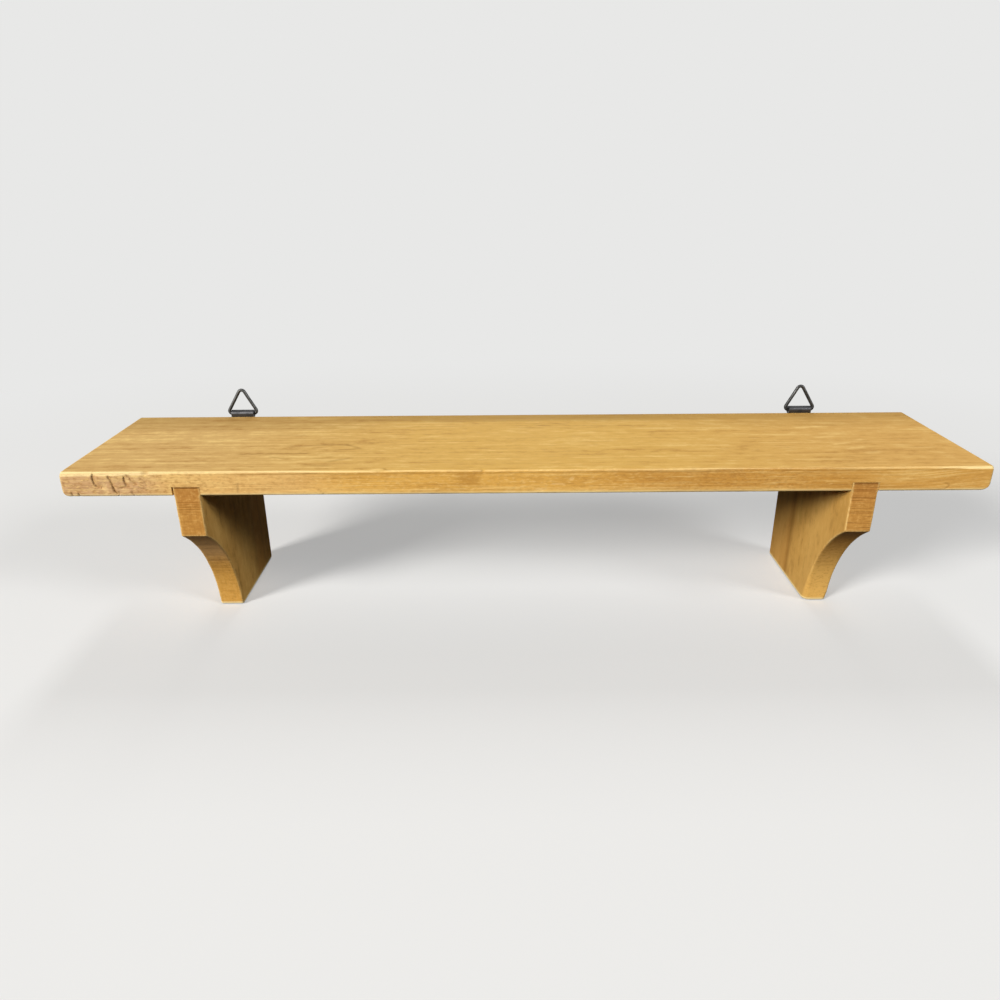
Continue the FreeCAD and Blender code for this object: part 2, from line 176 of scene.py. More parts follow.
def loft(name, rings, attributes):
    """A closed mesh through rings of points, with flat caps. Points that coincide are welded."""
    count, size = len(rings), len(rings[0])
    bm = bmesh.new()
    layers = {key: bm.verts.layers.float.new(key) for key in attributes}
    corners = []
    for number in range(count):
        for place in range(size):
            corner = bm.verts.new(rings[number][place] * MM)
            for key, layer in layers.items():
                corner[layer] = float(attributes[key][number][place])
            corners.append(corner)
    for number in range(count - 1):
        for place in range(size):
            following = (place + 1) % size
            first, second = number * size, (number + 1) * size
            bm.faces.new([corners[first + place], corners[first + following],
                          corners[second + following], corners[second + place]])
    bm.faces.new(corners[:size][::-1])
    bm.faces.new(corners[-size:])
    bmesh.ops.remove_doubles(bm, verts=bm.verts, dist=WELD)
    bmesh.ops.dissolve_degenerate(bm, edges=bm.edges, dist=SLIVER)
    bmesh.ops.recalc_face_normals(bm, faces=bm.faces)
    mesh = bpy.data.meshes.new(name)
    bm.to_mesh(mesh)
    bm.free()
    mesh.shade_smooth()
    mesh.set_sharp_from_angle(angle=SHARP_ANGLE)
    piece = bpy.data.objects.new(name, mesh)
    bpy.context.scene.collection.objects.link(piece)
    return piece


# The board: a rounded section drawn along its length, worn and torn along its front.

# Radius of the worn front top edge, at places along the board.
EDGE_PLACES = (-229, -206, -190, -160, -100, 0, 70, 150, 195, 212, 229)
EDGE_RADII = (2.4, 2.1, 1.55, 1.15, 1.05, 0.85, 0.75, 0.8, 0.9, 1.15, 1.5)

# How pale that edge is at the same places: wood worn through, and a painted highlight.
EDGE_WEAR_AND_HIGHLIGHT = (1.0, 1.0, 1.0, 0.95, 0.8, 0.45, 0.38, 0.45, 0.6, 0.85, 1.0)

# Radius of the other long edges, and of the corners at the board's ends.
PLAIN_RADIUS = 1.1
END_RADIUS = 1.5
TOP_END_RADIUS = {"left": 1.4, "right": 1.3}
LOW_END_RADIUS = {"left": 3.2, "right": 4.4}

# The other long edges as (back, up), with how far their pale wear and painted highlight reach.
OTHER_EDGES = [((FRONT, UNDERSIDE), 1.7), ((BACK, TOP), 1.1), ((BACK, UNDERSIDE), 1.1)]

# Tear-outs on the front: a path of (along the board, below its top), how fast each side of it
# rises back, its depth, and how dark its bottom has gone.
TEAR_OUTS = [
    ([(-212.2, 1.6), (-212.3, 3.6), (-211.8, 6.1), (-210.9, 7.6), (-209.6, 8.1)],
     0.26, 2.2, 0.7, 0.75),
    ([(-204.4, 2.9), (-203.8, 4.0), (-203.1, 6.1), (-202.9, 8.3)], 0.32, 1.0, 0.65, 0.7),
    ([(-202.9, 8.0), (-202.4, 10.1), (-201.4, 11.3)], 0.4, 0.8, 0.85, 0.95),
    ([(-200.3, 10.4), (-200.7, 12.4)], 0.3, 0.5, 0.5, 0.6),
    ([(-196.9, 3.3), (-196.8, 5.1), (-196.2, 6.9)], 0.28, 1.3, 0.65, 0.75),
    ([(-195.2, 2.2), (-194.2, 3.1), (-193.4, 4.8), (-191.6, 6.1)], 0.28, 1.1, 0.6, 0.7),
    ([(-198.5, 8.4), (-194.6, 7.4)], 0.25, 0.7, 0.35, 0.4),
    ([(-194.0, 10.8), (-193.2, 12.3)], 0.3, 0.7, 0.45, 0.55),
    ([(-190.2, 8.3), (-186.0, 9.4)], 0.3, 0.7, 0.3, 0.35),
    ([(-188.8, 3.6), (-186.9, 5.3), (-186.4, 7.0)], 0.25, 0.8, 0.3, 0.35),
    ([(-223.7, 11.0), (-223.4, 12.7)], 0.4, 0.5, 0.45, 0.6),
    ([(-220.4, 11.6), (-219.9, 12.8)], 0.45, 0.6, 0.65, 0.9),
    ([(-141.2, 6.9), (-141.6, 10.6)], 0.5, 0.7, 0.25, 0.4),
    ([(-102.2, 9.9), (-100.9, 10.8), (-99.9, 12.2)], 0.3, 0.5, 0.3, 0.55),
    ([(205.5, 8.9), (207.6, 9.6), (207.9, 10.6), (206.2, 11.5)], 0.3, 0.4, 0.28, 0.45),
    ([(99.2, 3.4), (106.4, 4.3)], 0.22, 0.22, 0.12, 0.3),
    ([(101.6, 3.1), (103.4, 6.9)], 0.22, 0.22, 0.12, 0.3),
]

# Shallow chips on the front that show paler wood: place along and below the top, half sizes, depth.
CHIPS = [
    (-206.8, 8.4, 1.8, 3.2, 0.10), (-195.2, 4.3, 0.9, 1.2, 0.10), (-197.4, 9.4, 3.0, 1.2, 0.08),
    (-221.9, 11.6, 1.3, 0.8, 0.05), (7.4, 10.4, 3.2, 0.8, 0.09), (15.4, 7.7, 3.0, 0.5, 0.08),
    (22.5, 5.1, 1.3, 1.0, 0.10), (-8.0, 11.2, 3.5, 0.6, 0.08), (-50.0, 10.6, 5.0, 0.5, 0.06),
    (-20.0, 9.6, 6.0, 0.5, 0.06), (3.0, 11.6, 5.0, 0.5, 0.08), (36.0, 10.9, 4.0, 0.5, 0.06),
    (-130.6, 10.3, 0.5, 1.7, 0.08), (-128.4, 10.9, 0.4, 1.2, 0.08), (59.5, 8.0, 0.4, 1.2, 0.06),
]
CHIP_FULL_DEPTH = 0.12

# Knocks in the front top edge: place along, half length, depth.
KNOCKS = [
    (-186.1, 1.5, 0.75), (-71.4, 2.6, 0.55), (-21.0, 0.9, 0.6), (38.0, 1.3, 0.25),
    (121.0, 1.6, 0.22),
]
KNOCK_REACH = 1.5
KNOCK_SLANT = 0.75

# Height of the front's waves, and how far the top falls near its front edge.
FRONT_WAVE = 0.06
TOP_DROOP, DROOP_REACH = 0.16, 5.0

# The play of each bracket in its groove, on its outer and inner sides. The left groove was cut
# wide at its outer front, and every wall closes up on its bracket towards the back.
GROOVE_PLAY = {"left": (0.9, 0.12), "right": (0.12, 0.18)}
BACK_PLAY = 0.12
CLOSING_START, CLOSING_END = FRONT + 8.0, FRONT + 40.0

# Steps in from each end of the board, closest where the end's corners are round.
END_STEPS = np.array([0.0, 0.08, 0.25, 0.5, 0.85, 1.3, 1.85, 2.5, 3.2, 4.4])

# Sections nearer than this to a groove's wall are left out: the wall has its own.
WALL_CLEARANCE = 0.95

# Shares that divide the top from front to back, closest behind the worn edge.
TOP_SHARES = runs(0.0, (0.05, 0.0065), (1.0, 0.028))

# Directions in the board's section, as (back, up).
FORWARD, BACKWARD = (-1.0, 0.0), (1.0, 0.0)
UPWARD, DOWNWARD = (0.0, 1.0), (0.0, -1.0)

# Seeds of the board's wandering lines.
EDGE_LONG_SEED, EDGE_SHORT_SEED = 3, 4
FRONT_WAVE_SEED, FRONT_BEND_SEED = 5, 6
DROOP_SEED, CHIP_SEED = 8, 11


def groove_plays(side):
    """The play on the left and on the right of a bracket."""
    return left_to_right(side, *GROOVE_PLAY[side])


def groove_walls(side):
    """Where a groove's walls stand along the board, at its front."""
    low, high = BRACKETS[side]
    before, after = groove_plays(side)
    return low[0] - before, high[0] + after


def wall_shift(place, points):
    """How far the points of a groove's wall move in towards its bracket."""
    closing = ease(CLOSING_START, CLOSING_END, points[:, 0]) * (points[:, 1] < CEILING + TINY)
    for side in SIDES:
        for wall, play, inward in zip(groove_walls(side), groove_plays(side), (1.0, -1.0)):
            if place == wall:
                return inward * (play - BACK_PLAY) * closing
    return np.zeros(len(points))


def plain_stations():
    """Places along the board, closest at its ends, knocks and tear-outs."""
    start, end = -HALF_LENGTH + END_STEPS[-1], HALF_LENGTH - END_STEPS[-1]
    fine = runs(start, (-226, 0.35), (-188, 0.3), (-184, 0.4), (-144, 1.0), (-138, 0.45),
                (-76, 1.0), (-66, 0.5), (-24, 1.0), (-18, 0.35), (4, 0.8), (26, 0.55), (97, 1.0),
                (109, 0.4), (202, 1.0), (211, 0.4), (end, 0.8))
    end_steps = END_STEPS[:-1]
    return np.concatenate([-HALF_LENGTH + end_steps, fine, (HALF_LENGTH - end_steps)[::-1]])


def board_stations():
    """Places along the board, flagged if inside a groove. Each wall has both kinds."""
    walls = [groove_walls(side) for side in SIDES]
    starts = [first for first, _ in walls]
    stations = [(wall, cut) for pair in walls for wall in pair for cut in (False, True)]
    for place in plain_stations():
        inside = any(first < place < last for first, last in walls)
        if all(abs(place - wall) >= WALL_CLEARANCE for pair in walls for wall in pair):
            stations.append((place, inside))

    def order(station):
        place, cut = station
        return place, cut if place in starts else not cut

    return sorted(stations, key=order)


def edge_radius(place):
    """Radius of the worn front top edge at a place along the board."""
    radius = np.interp(place, EDGE_PLACES, EDGE_RADII)
    long_change = 0.14 * wander(place, 17.0, EDGE_LONG_SEED)
    short_change = 0.08 * wander(place, 5.0, EDGE_SHORT_SEED)
    return radius * (1.0 + long_change + short_change)


def open_groove(points, normals, front, back):
    """Raise an outline's underside to the ceiling of a groove, with square corners."""
    below = points[:, 1] < CEILING
    points[below, 1] = CEILING
    near_front = below & (points[:, 0] < front + PLAIN_RADIUS - TINY)
    near_back = below & (points[:, 0] > back - PLAIN_RADIUS + TINY)
    points[near_front, 0], points[near_back, 0] = front, back
    normals[below] = DOWNWARD
    normals[near_front], normals[near_back] = FORWARD, BACKWARD


def board_section(place, cut):
    """The board's outline at one place along it: points and normals in (back, up)."""
    end = "left" if place < 0 else "right"
    from_end = HALF_LENGTH - abs(place)
    drawn = corner_inset(from_end, END_RADIUS)
    front, back = FRONT + drawn, BACK - drawn
    top = TOP - corner_inset(from_end, TOP_END_RADIUS[end])
    low = UNDERSIDE + corner_inset(from_end, LOW_END_RADIUS[end])
    edge, rest = edge_radius(place), PLAIN_RADIUS
    split = max(CEILING, low + rest + 0.1)
    points, normals = join([
        arc((front + rest, low + rest), rest, 270, 180, 5),
        side_line((front, low + rest), (front, split), even(8), FORWARD),
        one_point((front, split), FORWARD),
        side_line((front, split), (front, top - edge), even(13), FORWARD),
        arc((front + edge, top - edge), edge, 180, 90, 8),
        side_line((front + edge, top), (back - rest, top), TOP_SHARES, UPWARD),
        arc((back - rest, top - rest), rest, 90, 0, 5),
        side_line((back, top - rest), (back, split), even(6), BACKWARD),
        one_point((back, split), BACKWARD),
        side_line((back, split), (back, low + rest), even(4), BACKWARD),
        arc((back - rest, low + rest), rest, 0, -90, 5),
        side_line((back - rest, low), (front + rest, low), even(27), DOWNWARD),
    ])
    if cut:
        open_groove(points, normals, front, back)
    return points, normals


def tear_depth(along, down):
    """Depth of the tear-outs at places on the front, and how dark their bottoms look."""
    depth, dark = np.zeros(along.shape), np.zeros(along.shape)
    for path, sharp, soft, deepest, stain in TEAR_OUTS:
        signed = path_distance(along, down, path)
        share = hump(signed, 0.0, np.where(signed < 0.0, sharp, soft))
        depth = np.maximum(depth, deepest * share)
        line = hump(signed, 0.05, sharp + 0.05)
        dark = np.maximum(dark, stain * (line + 0.2 * share))
    return depth, np.clip(dark, 0.0, 1.0)


def chip_depth(along, down):
    """Depth of the chips at places on the front, with ragged rims."""
    depth = np.zeros(along.shape)
    ragged = 1.0 + 0.35 * wander(along * 2.0 + down * 3.0, 1.0, CHIP_SEED)
    for middle, below, half_length, half_height, deepest in CHIPS:
        reach = np.hypot((along - middle) / half_length, (down - below) / half_height) * ragged
        depth = np.maximum(depth, deepest * (1.0 - ease(0.6, 1.05, reach)))
    return depth


def knock_depth(along, from_edge):
    """How far the knocks press in, away from the front top edge."""
    deepest = sum(depth * hump(along, middle, half) for middle, half, depth in KNOCKS)
    return deepest * hump(from_edge, 0.0, KNOCK_REACH)


def front_waves(along, down):
    """The slight waves of the front, left by the plane."""
    bent = along + 40.0 * wander(down, 1.3, FRONT_BEND_SEED)
    return FRONT_WAVE + FRONT_WAVE * wander(bent, 9.0, FRONT_WAVE_SEED)


def top_droop(along, points, normals):
    """How far the top falls away towards its front edge."""
    droop = TOP_DROOP * (1.0 + wander(along, 23.0, DROOP_SEED))
    return droop * np.exp(-(points[:, 0] - FRONT) / DROOP_REACH) * (normals[:, 1] > 0.1)


def board_wear_and_highlight(place, points, from_edge):
    """Where the board's edges and ends are pale, 0 to 1: wear, and a painted edge highlight."""
    edge = edge_radius(place)
    wear = np.interp(place, EDGE_PLACES, EDGE_WEAR_AND_HIGHLIGHT)
    wear_and_highlight = wear * (1.0 - ease(edge * 0.6, edge + 0.1, from_edge))
    for (edge_y, edge_z), reach in OTHER_EDGES:
        other = np.hypot(points[:, 0] - edge_y, points[:, 1] - edge_z)
        wear_and_highlight = np.maximum(wear_and_highlight, 0.7 * (1.0 - ease(reach - 0.7, reach, other)))
    from_end = HALF_LENGTH - abs(place)
    return np.maximum(wear_and_highlight, 0.8 * (1.0 - ease(0.1, 1.0, abs(from_end - 0.35))))


def make_board():
    """The board's mesh, with its wear and painted highlight as attributes for the wood."""
    rings, shown = [], {"wear_and_highlight": [], "torn": [], "fresh": []}
    for place, cut in board_stations():
        points, normals = board_section(place, cut)
        along = np.full(len(points), place)
        down = TOP - points[:, 1]
        frontness = np.clip(-normals[:, 0], 0.0, 1.0)
        torn, dark = tear_depth(along, down)
        chipped = chip_depth(along, down)
        sunk = frontness * (torn + chipped + front_waves(along, down))
        points = points - normals * sunk[:, None]
        from_edge = np.hypot(points[:, 0] - FRONT, points[:, 1] - TOP)
        pressed = knock_depth(along, from_edge)
        droop = top_droop(along, points, normals)
        pushed = KNOCK_SLANT * pressed
        points = points + np.column_stack([pushed, -pushed - droop])
        rings.append(np.column_stack([along + wall_shift(place, points), points]))
        # The pale edge attribute holds wear and a painted highlight.
        wear_and_highlight = board_wear_and_highlight(place, points, from_edge) - 0.8 * pressed
        shown["wear_and_highlight"].append(np.clip(wear_and_highlight, 0.0, 1.0))
        shown["torn"].append(np.clip(frontness * dark + 0.7 * pressed, 0.0, 1.0))
        shown["fresh"].append(frontness * np.clip(chipped / CHIP_FULL_DEPTH, 0.0, 1.0))
    return loft("board_visual", rings, shown)


# The brackets: a rounded section drawn from the foot up to the groove, its front on the cove.

BLOCK_HEIGHT = 21.9
TOE_BACK = 35.25
COVE_RADIUS = 79.0
BLOCK_BOTTOM = UNDERSIDE - BLOCK_HEIGHT

# How softly the cove runs into the block's sill, and the height of the saw's ridges.
SILL_SOFTNESS = 0.45
SAW_RIDGE = 0.03

# Radii of the foot's edges at its sides, front and back, and of the upright back edges.
FOOT_SIDE_RADIUS, FOOT_FRONT_RADIUS, FOOT_BACK_RADIUS = 0.7, 0.8, 1.4
BACK_EDGE_RADIUS = 0.7

# Radius of the upright front edges: as sawn, what wear adds at the foot, and inside the groove.
FRONT_EDGE_RADIUS = 0.85
FOOT_WEAR = {"left": 0.3, "right": 1.5}
GROOVE_EDGE_RADIUS = 0.15

# Heights of the lowest sections, closest where the edges are round, and the play at the top.
FOOT_STEPS = np.array([0.0, 0.06, 0.2, 0.45, 0.8, 1.2, 1.6])
TOP_PLAY = 0.12

# Shares that divide a flank from front to back, closest behind the front edge.
FLANK_SHARES = runs(0.0, (0.06, 0.012), (1.0, 0.028))

# The front edges' least paleness, and the heights between which they turn fully pale.
# The pale is wear and a painted highlight, kept low where the edges lie in shade.
LEAST_PALE = {"left": 0.45, "right": 0.15}
PALE_HEIGHTS = {"left": (44.0, 56.0), "right": (38.0, 50.0)}

# Seeds of the brackets' wandering lines.
BRACKET_EDGE_SEED = {"left": 21, "right": 22}
SAW_RIDGE_SEED = {"left": 31, "right": 41}


def cove_front(height):
    """Where a bracket's front stands at a height: the cove below, the flat block above."""
    chord = math.hypot(TOE_BACK, BLOCK_BOTTOM)
    hollow = math.sqrt(COVE_RADIUS ** 2 - (chord / 2) ** 2) / chord
    centre_y = FRONT + TOE_BACK / 2 - BLOCK_BOTTOM * hollow
    centre_z = BLOCK_BOTTOM / 2 - TOE_BACK * hollow
    curve = centre_y + math.sqrt(max(COVE_RADIUS ** 2 - (height - centre_z) ** 2, 0.0))
    return (FRONT + curve + math.sqrt((FRONT - curve) ** 2 + SILL_SOFTNESS ** 2)) / 2


def bracket_heights():
    """Heights of a bracket's sections, closest at the foot and at the block's sill."""
    rest = runs(FOOT_STEPS[-1], (BLOCK_BOTTOM - 3.0, 0.9), (BLOCK_BOTTOM + 1.0, 0.14),
                (UNDERSIDE, 0.9), (CEILING - TOP_PLAY, 0.6))
    return np.concatenate([FOOT_STEPS[:-1], rest])


def front_radii(side, height):
    """Radii of a bracket's left and right front edges at a height."""
    near_foot = 1.0 - ease(0.0, 7.0, height)
    change = 0.2 * wander(height, 6.0, BRACKET_EDGE_SEED[side])
    outer = FRONT_EDGE_RADIUS + change + FOOT_WEAR[side] * near_foot
    inner = outer + 0.1 * ease(BLOCK_BOTTOM - 4, BLOCK_BOTTOM + 3, height)
    if side == "right":
        inner += 1.5 * (1.0 - ease(3.0, 28.0, height))
    in_groove = ease(UNDERSIDE - 0.6, UNDERSIDE + 0.4, height)
    hidden = GROOVE_EDGE_RADIUS * in_groove
    return left_to_right(side, *(radius * (1 - in_groove) + hidden for radius in (outer, inner)))


def bracket_section(side, height):
    """A bracket's outline at one height: points and normals in (along the board, back)."""
    low, high = BRACKETS[side]
    drawn = corner_inset(height, FOOT_SIDE_RADIUS)
    left, right = low[0] + drawn, high[0] - drawn
    front = cove_front(height) + corner_inset(height, FOOT_FRONT_RADIUS)
    back = high[1] - corner_inset(height, FOOT_BACK_RADIUS)
    first, second = front_radii(side, height)
    rest = BACK_EDGE_RADIUS
    to_left, to_right = (-1.0, 0.0), (1.0, 0.0)
    to_front, to_back = (0.0, -1.0), (0.0, 1.0)
    return join([
        arc((left + first, front + first), first, 180, 270, 5),
        side_line((left + first, front), (right - second, front), even(14), to_front),
        arc((right - second, front + second), second, 270, 360, 5),
        side_line((right, front + second), (right, back - rest), FLANK_SHARES, to_right),
        arc((right - rest, back - rest), rest, 0, 90, 4),
        side_line((right - rest, back), (left + rest, back), even(7), to_back),
        arc((left + rest, back - rest), rest, 90, 180, 4),
        side_line((left, back - rest), (left, front + first), 1.0 - FLANK_SHARES[::-1], to_left),
    ])


def bracket_wear_and_highlight(side, height, points, frontness):
    """Where a bracket's front edges, sill and foot are pale, 0 to 1: wear and a painted highlight.
    """
    low, high = BRACKETS[side]
    from_front = points[:, 1] - cove_front(height)
    from_side = np.minimum(points[:, 0] - low[0], high[0] - points[:, 0])
    outer = np.abs(points[:, 0]) > abs(low[0] + high[0]) / 2
    high_part = ease(*PALE_HEIGHTS[side], height)
    near_floor = (1.0 - ease(20.0, 36.0, height)) * np.where(outer, 1.0, 0.3)
    least = LEAST_PALE[side]
    paleness = least + (1.0 - least) * np.maximum(high_part, near_floor)
    reach = 0.85 if side == "right" and height > BLOCK_BOTTOM else 1.05
    edges = (1.0 - ease(reach - 0.5, reach, np.hypot(from_front, from_side))) * paleness
    sill = frontness * hump(height, BLOCK_BOTTOM + 0.25, 0.5)
    foot = 1.0 - ease(1.1, 2.0, height)
    return np.clip(np.maximum(np.maximum(edges, 0.8 * sill), foot), 0, 1)


def make_bracket(side):
    """A bracket's mesh, with its wear, painted highlight and sawn front as attributes for the wood.
    """
    rings, shown = [], {"wear_and_highlight": [], "sawn": []}
    for height in bracket_heights():
        points, normals = bracket_section(side, height)
        frontness = np.clip(-normals[:, 1], 0.0, 1.0)
        ridges = wander(height + 0.02 * points[:, 0], 0.9, SAW_RIDGE_SEED[side])
        sunk = frontness * (SAW_RIDGE + SAW_RIDGE * ridges)
        points = points - normals * sunk[:, None]
        rings.append(np.column_stack([points, np.full(len(points), height)]))
        shown["wear_and_highlight"].append(bracket_wear_and_highlight(side, height, points, frontness))
        shown["sawn"].append(frontness)
    return loft(f"{side}_bracket_visual", rings, shown)


# Materials.


def arithmetic(operation):
    """The plain and the reflected method that add a Math node."""

    def plain(self, other):
        return self.graph.math(operation, self, other)

    def reflected(self, other):
        return self.graph.math(operation, other, self)

    return plain, reflected


class Wire:
    """One output of a node; arithmetic on it adds Math nodes."""

    def __init__(self, graph, socket):
        self.graph = graph
        self.socket = socket

    __add__, __radd__ = arithmetic("ADD")
    __sub__, __rsub__ = arithmetic("SUBTRACT")
    __mul__, __rmul__ = arithmetic("MULTIPLY")
    __truediv__, __rtruediv__ = arithmetic("DIVIDE")


class Graph:
    """A node tree, with short ways to add to it."""

    def __init__(self, owner):
        owner.use_nodes = True
        self.tree = owner.node_tree
        self.tree.nodes.clear()

    def add(self, kind, settings=None, inputs=None, output=0):
        """A node with its settings, and its inputs as wires or constants."""
        node = self.tree.nodes.new(kind)
        for name, value in (settings or {}).items():
            setattr(node, name, value)
        for key, value in (inputs or {}).items():
            if isinstance(value, Wire):
                self.tree.links.new(value.socket, node.inputs[key])
            else:
                node.inputs[key].default_value = value
        return Wire(self, node.outputs[output]) if node.outputs else None

    def math(self, operation, *values):
        return self.add("ShaderNodeMath", {"operation": operation}, dict(enumerate(values)))

    def step(self, start, end, value):
        """A smooth step from 0 at start to 1 at end."""
        return self.add("ShaderNodeMapRange", {"interpolation_type": "SMOOTHSTEP"},
                        {0: value, 1: start, 2: end})

    def bell(self, value, middle, width):
        offset = (value - middle) / width
        return self.math("EXPONENT", offset * offset * -1.0)

    def within(self, low, high, soft, value):
        """1 between two places, with soft ends."""
        past_low = self.step(low - soft, low + soft, value)
        return past_low * (1.0 - self.step(high - soft, high + soft, value))

    def mix(self, share, first, second):
        return self.add("ShaderNodeMix", {"data_type": "RGBA"}, {0: share, 6: first, 7: second},
                        output=2)

    def over(self, colour, *layers):
        """A colour with layers of (share, colour) laid over it in turn."""
        for share, layer in layers:
            colour = self.mix(share, colour, layer)
        return colour

    def noise(self, x, y, z, detail=2.0, roughness=0.5):
        """Noise from 0 to 1 whose grain is one unit of each coordinate."""
        spot = self.add("ShaderNodeCombineXYZ", None, {0: x, 1: y, 2: z})
        return self.add("ShaderNodeTexNoise", None, {
            "Vector": spot, "Scale": 1.0, "Detail": detail, "Roughness": roughness})

    def places(self):
        """The three coordinates on the piece, in millimetres."""
        spot = self.add("ShaderNodeTexCoord", output="Object")
        scaled = self.add("ShaderNodeVectorMath", {"operation": "SCALE"}, {0: spot, 3: 1.0 / MM})
        return [self.add("ShaderNodeSeparateXYZ", None, {0: scaled}, output=axis) for axis in "XYZ"]

    def painted(self, name):
        """An attribute of the mesh."""
        return self.add("ShaderNodeAttribute", {"attribute_name": name}, output="Fac")

    def seen(self):
        """1 for what the camera sees, straight or in a reflection, and 0 for bounced light."""
        rays = [self.add("ShaderNodeLightPath", output=f"Is {kind} Ray")
                for kind in ("Camera", "Glossy", "Transmission")]
        return self.math("MINIMUM", rays[0] + rays[1] + rays[2], 1.0)

    def bump(self, height, depth, strength):
        """Normals for a height from 0 to 1, with its depth in millimetres."""
        return self.add("ShaderNodeBump", None, {
            "Strength": strength, "Distance": depth * MM, "Height": height})

    def surface(self, inputs):
        """The material's surface, from the inputs of its shader."""
        shader = self.add("ShaderNodeBsdfPrincipled", None, inputs)
        self.add("ShaderNodeOutputMaterial", None, {"Surface": shader})


def tint(red, green, blue):
    """A colour given in 0 to 255 screen values."""
    linear = []
    for value in (red, green, blue):
        share = value / 255.0
        linear.append(share / 12.92 if share <= 0.04045 else ((share + 0.055) / 1.055) ** 2.4)
    return (*linear, 1.0)


# Wood of every piece.

WOOD_SHEEN = 0.04

# Marks of the grain: size along it, broad and thin, how the seed moves them, detail and roughness.
GRAIN = {
    "fibre": (70.0, 1.9, 0.65, 1.0, 4.0, 0.7),
    "streak": (130.0, 4.2, 1.6, -1.0, 2.0, 0.5),
    "dash": (14.0, 4.5, 1.6, 2.0, 2.0, 0.5),
    "speck": (7.5, 3.8, 1.0, 4.0, 3.0, 0.7),
    "patch": (48.0, 15.0, 7.0, 1.0, 2.0, 0.5),
    "warm": (120.0, 38.0, 14.0, 3.0, 1.0, 0.5),
}


def wood_grain(graph, along, broad, thin, seed):
    """Fibres, streaks and patches of wood grown along one axis, each from 0 to 1."""
    marks = {}
    for mark, (length, width, height, move, detail, roughness) in GRAIN.items():
        marks[mark] = graph.noise(along / length, broad / width, thin / height + seed * move,
                                  detail, roughness)
    return marks


def grain_tone(grain, **shares):
    """The grain's light and dark about 0.5, from how much each mark counts."""
    tone = 0.5
    for mark, share in shares.items():
        tone = tone + (grain[mark] - 0.5) * share
    return tone


def shade_wood(graph, base, tone, contrast, dark, light):
    """Darken or lighten a colour where the tone falls below or rises above its middle."""
    return graph.over(base, ((1.0 - graph.step(0.2, 0.5, tone)) * contrast, dark),
                      (graph.step(0.5, 0.8, tone) * contrast, light))


def finish_wood(graph, colour, roughness, height, depth):
    """The wood's surface, with its relief in millimetres."""
    graph.surface({"Base Color": colour, "Roughness": roughness,
                   "Normal": graph.bump(height, depth, 1.0), "Specular IOR Level": WOOD_SHEEN})


# The board's wood.

# Marks on the top: start and end, each along it and behind its front, half width and strength.
# The dark ones are a feather-shaped figure, the pale ones a slanting row of flecks and a knock.
DARK_MARKS = [
    (-148.0, 26.0, -111.5, 26.4, 0.9, 0.8), (-125.0, 36.7, -105.5, 40.6, 1.4, 0.4),
    (-107.5, 41.0, -92.5, 40.2, 1.5, 0.6), (-94.0, 40.0, -85.8, 33.5, 1.6, 0.45),
    (-100.0, 31.1, -86.0, 34.0, 1.2, 0.3), (-100.0, 13.3, -88.3, 18.8, 1.5, 0.45),
    (-110.6, 8.9, -97.0, 7.6, 1.2, 0.4), (-108.7, 17.7, -97.8, 20.0, 1.2, 0.3),
    (-130.6, 21.2, -119.6, 17.5, 1.1, 0.4), (-135.8, 57.6, -120.4, 57.4, 1.0, 0.35),
    (-86.5, 43.1, -79.1, 43.0, 0.9, 0.4), (-70.4, 2.8, -66.6, 1.0, 0.6, 0.7),
]
PALE_MARKS = [
    (-115.7, 14.1, -106.6, 16.3, 1.2, 0.5), (-109.5, 33.8, -101.7, 35.2, 1.2, 0.4),
    (154.2, 64.6, 168.4, 67.5, 1.5, 0.8), (157.8, 46.7, 169.6, 49.3, 1.4, 0.6),
    (163.2, 35.4, 173.0, 37.9, 1.3, 0.75), (167.1, 27.9, 177.8, 30.8, 1.4, 0.55),
    (174.4, 20.9, 182.8, 22.7, 1.6, 0.5), (177.3, 41.8, 182.4, 43.4, 1.1, 0.5),
    (-75.5, 1.8, -70.6, 1.6, 1.2, 0.9),
]

# The heart that the ends' year rings curve about, and a ring's width.
HEART_Y, HEART_Z = 14.0, UNDERSIDE - 52.0
RING_WIDTH = 2.9

BOARD_SEED = 3.7
BOARD_RELIEF = 0.05


def top_colour(graph, x):
    """The top's stain, a little greyer at both ends."""
    return graph.over(tint(211, 171, 107), (graph.step(-200.0, -20.0, x), tint(218, 174, 91)),
                      (graph.step(30.0, 200.0, x), tint(216, 170, 97)))


def front_colour(graph, x, down):
    """The front's stain, paler to the left, with a pale band low in its middle."""
    low_band = graph.step(8.6, 11.0, down) * graph.within(-110.0, 140.0, 25.0, x)
    return graph.over(tint(209, 167, 120), (graph.step(-195.0, -170.0, x), tint(228, 182, 111)),
                      (graph.step(-120.0, -80.0, x), tint(222, 170, 84)),
                      (graph.step(5.0, 75.0, x), tint(200, 146, 69)),
                      (graph.step(150.0, 190.0, x), tint(210, 158, 80)),
                      (low_band * 0.3, tint(240, 200, 122)))


def front_mottle(graph, colour, x, z, on_front):
    """The front's short pale flecks and dark pits, closer at its rough left end."""
    rough_end = 1.0 - graph.step(-185.0, -120.0, x)
    smooth_end = graph.step(115.0, 175.0, x)
    pitted = graph.within(85.0, 140.0, 20.0, x)
    pits = 1.0 - graph.step(0.3, 0.56, graph.noise(x / 1.9, 8.5, z / 0.9))
    pit_share = 0.22 + rough_end * 0.3 + pitted * 0.14 - smooth_end * 0.08
    colour = graph.mix(pits * on_front * pit_share, colour, tint(158, 108, 54))
    flecks = graph.step(0.5, 0.72, graph.noise(x / 2.8, 3.1, z / 0.9))
    fleck_share = 0.34 + rough_end * 0.16 - graph.step(20.0, 90.0, x) * 0.16
    return graph.mix(flecks * on_front * fleck_share, colour, tint(250, 212, 136)), pits


